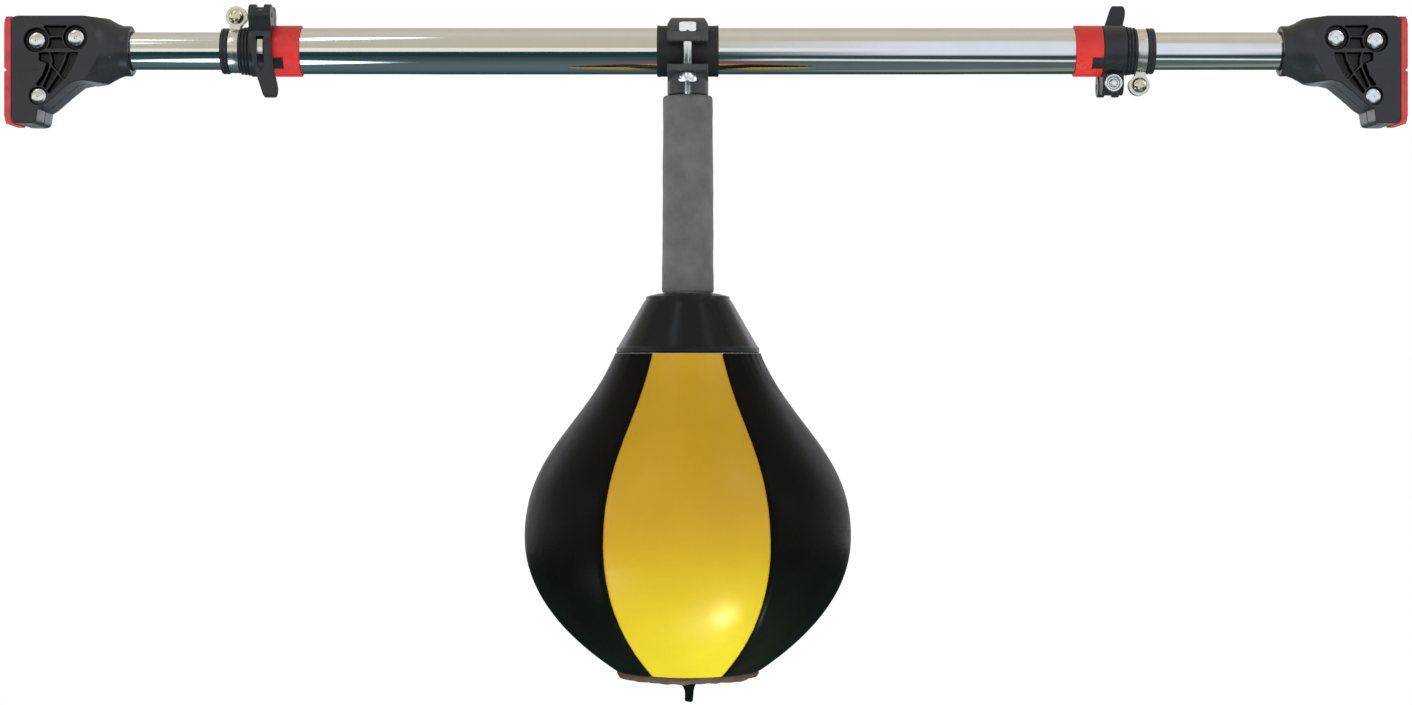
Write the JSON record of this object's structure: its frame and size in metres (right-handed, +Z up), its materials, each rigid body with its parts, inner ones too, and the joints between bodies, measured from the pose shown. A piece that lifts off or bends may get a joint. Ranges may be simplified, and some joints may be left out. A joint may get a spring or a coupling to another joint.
{
  "type": "speed bag platform",
  "caption": "Telescopic doorway pressure bar with lock collars and padded feet, carrying a central clamp, a foam-covered spring and a pear-shaped panelled speed ball.",
  "frame": {"origin": "middle of the left jamb pad's outer face, on the bar's axis", "axes": "+X along the bar to the right jamb, +Z up, the front faces -Y"},
  "size_m": [0.958, 0.2234, 0.4837],
  "materials": {
    "chrome_tube": "polished",
    "bright_steel": "satin",
    "steel": "satin",
    "spring_steel": "satin",
    "strap_steel": "satin",
    "plated_screw": "satin",
    "brass": "satin",
    "foot_plastic": "satin",
    "collar_plastic": "satin",
    "clamp_plastic": "satin",
    "cap_plastic": "gloss",
    "bush_plastic": "matte",
    "red_plastic": "satin",
    "pad_rubber": "matte",
    "liner_rubber": "matte",
    "bladder_rubber": "matte",
    "grey_foam": "matte",
    "yellow_leather": "satin",
    "black_leather": "satin"
  },
  "bodies": {
    "left_end": {"left_inner_tube": "chrome_tube", "left_drive_nut": "brass", "left_foot_front_shell": "foot_plastic", "left_foot_rear_shell": "foot_plastic", "left_foot_pad": "pad_rubber", "left_foot_screw_1": "bright_steel", "left_foot_screw_2": "bright_steel", "left_foot_screw_3": "bright_steel"},
    "right_end": {"right_inner_tube": "chrome_tube", "right_drive_nut": "brass", "right_foot_front_shell": "foot_plastic", "right_foot_rear_shell": "foot_plastic", "right_foot_pad": "pad_rubber", "right_foot_screw_1": "bright_steel", "right_foot_screw_2": "bright_steel", "right_foot_screw_3": "bright_steel"},
    "centre_bar": {"centre_tube": "chrome_tube", "drive_screw": "steel", "screw_anchor": "bush_plastic", "left_lock_ring": "red_plastic", "right_lock_ring": "red_plastic", "left_mouth_bush": "bush_plastic", "right_mouth_bush": "bush_plastic", "clamp_liner": "liner_rubber", "clamp_cap": "clamp_plastic", "clamp_saddle": "clamp_plastic", "front_clamp_bolt": "bright_steel", "rear_clamp_bolt": "bright_steel", "front_clamp_nut": "bright_steel", "rear_clamp_nut": "bright_steel", "spring_hanger": "steel"},
    "left_collar": {"left_lock_collar": "collar_plastic", "left_strap": "strap_steel", "left_strap_screw": "plated_screw", "left_strap_nut": "bright_steel", "left_lever_bolt": "bright_steel", "left_lever_nut": "bright_steel", "left_lever_pin": "steel"},
    "left_cam_lever": {"left_lever": "collar_plastic"},
    "right_collar": {"right_lock_collar": "collar_plastic", "right_strap": "strap_steel", "right_strap_screw": "plated_screw", "right_strap_nut": "bright_steel", "right_lever_bolt": "bright_steel", "right_lever_nut": "bright_steel", "right_lever_pin": "steel"},
    "right_cam_lever": {"right_lever": "collar_plastic"},
    "spring_mid": {"spring": "spring_steel", "foam_sleeve": "grey_foam"},
    "ball": {"ball_stud": "steel", "neck_cap": "cap_plastic", "bladder": "bladder_rubber", "bottom_patch": "black_leather", "tie_knot": "black_leather", "yellow_panel_1": "yellow_leather", "yellow_panel_2": "yellow_leather", "yellow_panel_3": "yellow_leather", "black_panel_1": "black_leather", "black_panel_2": "black_leather", "black_panel_3": "black_leather"}
  },
  "joints": [
    {"name": "bar_extend", "type": "slide", "parent": "left_end", "child": "centre_bar", "axis": [1, 0, 0], "range_m": [-0.044, 0.13]},
    {"name": "right_extend", "type": "slide", "parent": "centre_bar", "child": "right_end", "axis": [1, 0, 0], "range_m": [-0.044, 0.13]},
    {"name": "left_lock_slide", "type": "slide", "parent": "centre_bar", "child": "left_collar", "axis": [-1, 0, 0], "range_m": [0, 0.012]},
    {"name": "right_lock_slide", "type": "slide", "parent": "centre_bar", "child": "right_collar", "axis": [1, 0, 0], "range_m": [0, 0.012]},
    {"name": "left_lever_swing", "type": "hinge", "parent": "left_collar", "child": "left_cam_lever", "pos_m": [0.1742, -0.0153, 0.023], "axis": [-1, 0, 0], "range_deg": [0, 120]},
    {"name": "right_lever_swing", "type": "hinge", "parent": "right_collar", "child": "right_cam_lever", "pos_m": [0.7588, 0.0153, -0.023], "axis": [-1, 0, 0], "range_deg": [0, 120]},
    {"name": "spring_bend_fore_aft", "type": "hinge", "parent": "centre_bar", "child": "spring_mid", "pos_m": [0.4665, 0, -0.07], "axis": [1, 0, 0], "range_deg": [-60, 60], "stiffness_Nm_per_rad": 8, "deforming": ["spring", "foam_sleeve"]},
    {"name": "spring_bend_sideways", "type": "hinge", "parent": "spring_mid", "child": "ball", "pos_m": [0.4665, 0, -0.13], "axis": [0, 1, 0], "range_deg": [-60, 60], "stiffness_Nm_per_rad": 8, "deforming": ["spring", "foam_sleeve"]}
  ],
  "couplings": [
    {"joint": "right_extend", "follows": "bar_extend", "ratio": 1}
  ]
}
